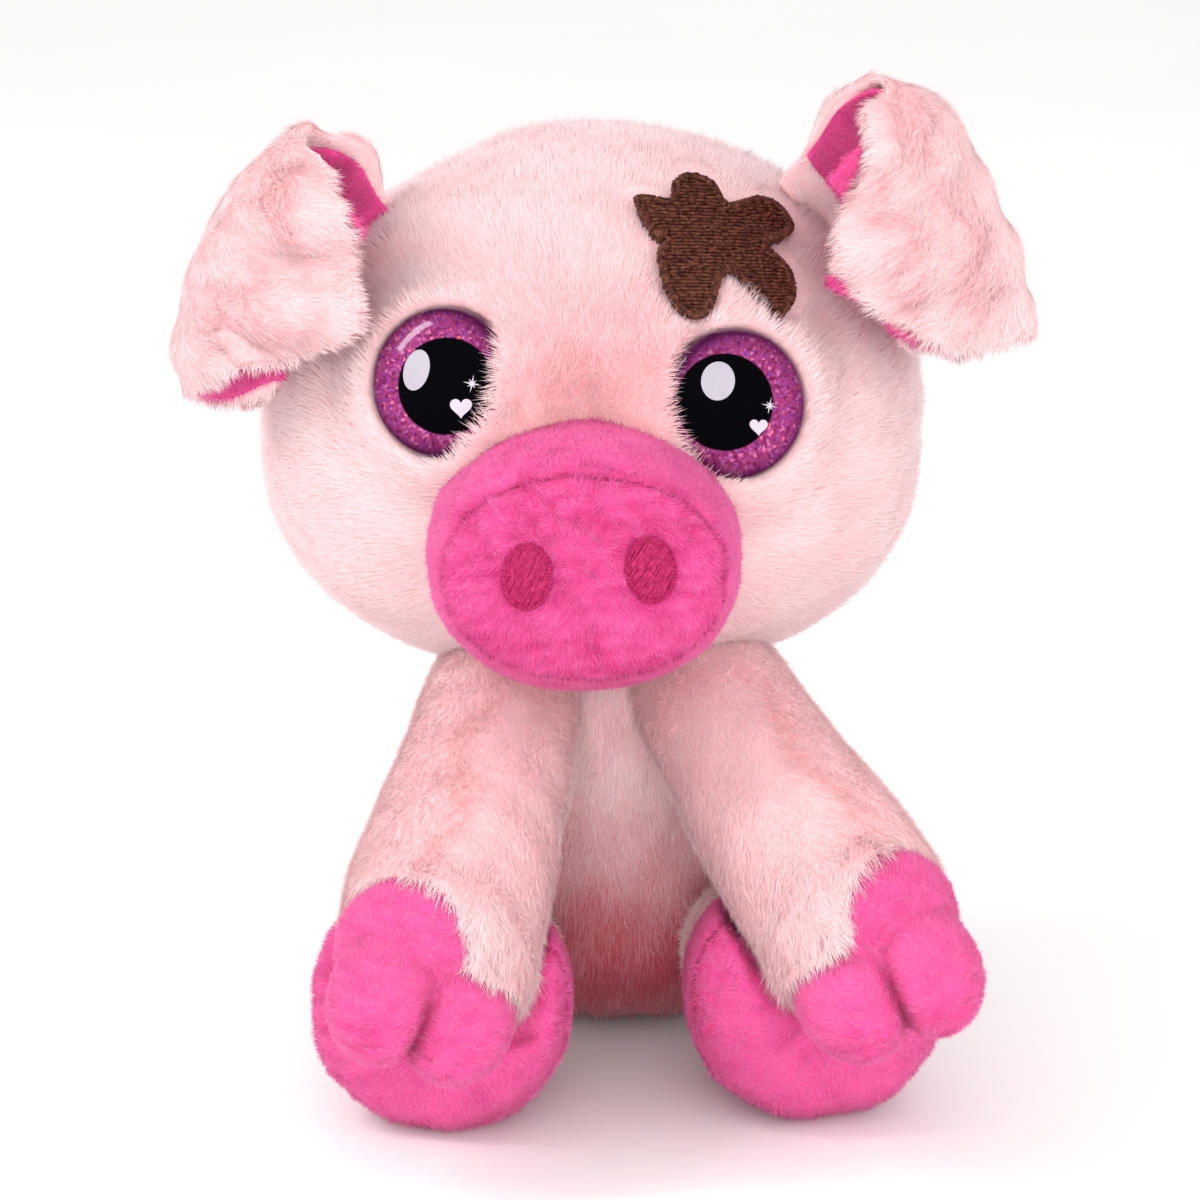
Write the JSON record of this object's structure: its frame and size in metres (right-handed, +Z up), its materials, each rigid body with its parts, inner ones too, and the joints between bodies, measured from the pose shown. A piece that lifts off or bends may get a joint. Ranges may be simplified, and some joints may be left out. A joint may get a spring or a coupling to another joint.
{
  "type": "plush pig",
  "caption": "Sitting plush pig with a big round head, padded snout, glitter eyes, folded ears, long forelegs with cloven hooves and a brown embroidered mud splash.",
  "frame": {"origin": "on the floor, under the middle of the torso's flat seat", "axes": "+Z up; the pig faces -Y and its own left side is +X"},
  "size_m": [0.1394, 0.1472, 0.156],
  "materials": {
    "pale_pile": "long soft pile, pale pink",
    "hot_pile": "short soft pile, hot pink",
    "satin_thread": "satin stitch, dark magenta",
    "brown_thread": "rows of dull brown thread",
    "clear_lens": "clear and glossy",
    "glitter": "magenta glitter",
    "washer_plastic": "plain",
    "fibre": "loose white fibre",
    "pouch_cloth": "thin woven cloth"
  },
  "bodies": {
    "torso": {"pellet_pouch": "pouch_cloth", "torso_filling": "fibre", "torso_skin": "pale_pile"},
    "head": {"eye_glitter_left": "glitter", "eye_glitter_right": "glitter", "eye_lens_left": "clear_lens", "eye_lens_right": "clear_lens", "eye_washer_left": "washer_plastic", "eye_washer_right": "washer_plastic", "head_filling": "fibre", "head_skin": "pale_pile", "mud_patch": "brown_thread", "nostril_left": "satin_thread", "nostril_right": "satin_thread", "snout_band": "hot_pile", "snout_face": "hot_pile", "snout_filling": "fibre"},
    "ear_right": {"ear_lining_right": "hot_pile", "ear_outer_right": "pale_pile"},
    "ear_left": {"ear_lining_left": "hot_pile", "ear_outer_left": "pale_pile"},
    "foreleg_right": {"foreleg_filling_right": "fibre", "foreleg_sleeve_right": "pale_pile", "hoof_right": "hot_pile"},
    "foreleg_left": {"foreleg_filling_left": "fibre", "foreleg_sleeve_left": "pale_pile", "hoof_left": "hot_pile"},
    "hindleg_right": {"foot_band_right": "hot_pile", "foot_sole_right": "hot_pile", "hindleg_filling_right": "fibre", "hindleg_sleeve_right": "pale_pile"},
    "hindleg_left": {"foot_band_left": "hot_pile", "foot_sole_left": "hot_pile", "hindleg_filling_left": "fibre", "hindleg_sleeve_left": "pale_pile"},
    "tail": {"tail": "pale_pile"}
  },
  "joints": [
    {"name": "neck", "type": "hinge", "parent": "torso", "child": "head", "pos_m": [0, 0, 0.0583], "axis": [1, 0, 0], "range_deg": [-10, 3], "stiffness_Nm_per_rad": 0.4},
    {"name": "ear_left_fold", "type": "hinge", "parent": "head", "child": "ear_left", "pos_m": [0.03502, -0.006, 0.12479], "axis": [-0.6433, 0, 0.7656], "range_deg": [0, 18], "stiffness_Nm_per_rad": 0.02},
    {"name": "shoulder_left", "type": "hinge", "parent": "torso", "child": "foreleg_left", "pos_m": [0.01344, -0.01573, 0.0522], "axis": [-0.4396, -0.4765, 0.7614], "range_deg": [0, 15], "stiffness_Nm_per_rad": 0.1},
    {"name": "hip_left", "type": "hinge", "parent": "torso", "child": "hindleg_left", "pos_m": [0.022, -0.024, 0.019], "axis": [0, 0, 1], "range_deg": [-4, 12], "stiffness_Nm_per_rad": 0.1},
    {"name": "ear_right_fold", "type": "hinge", "parent": "head", "child": "ear_right", "pos_m": [-0.04717, -0.006, 0.11965], "axis": [-0.5216, 0, -0.8532], "range_deg": [0, 18], "stiffness_Nm_per_rad": 0.02},
    {"name": "shoulder_right", "type": "hinge", "parent": "torso", "child": "foreleg_right", "pos_m": [-0.01835, -0.01634, 0.05174], "axis": [-0.4579, 0.4015, -0.7931], "range_deg": [0, 15], "stiffness_Nm_per_rad": 0.1},
    {"name": "hip_right", "type": "hinge", "parent": "torso", "child": "hindleg_right", "pos_m": [-0.022, -0.0285, 0.019], "axis": [0, 0, -1], "range_deg": [-4, 12], "stiffness_Nm_per_rad": 0.1},
    {"name": "tail_root", "type": "hinge", "parent": "torso", "child": "tail", "pos_m": [0, 0.02924, 0.024], "axis": [0, 0, 1], "range_deg": [-8, 8], "stiffness_Nm_per_rad": 0.01}
  ]
}
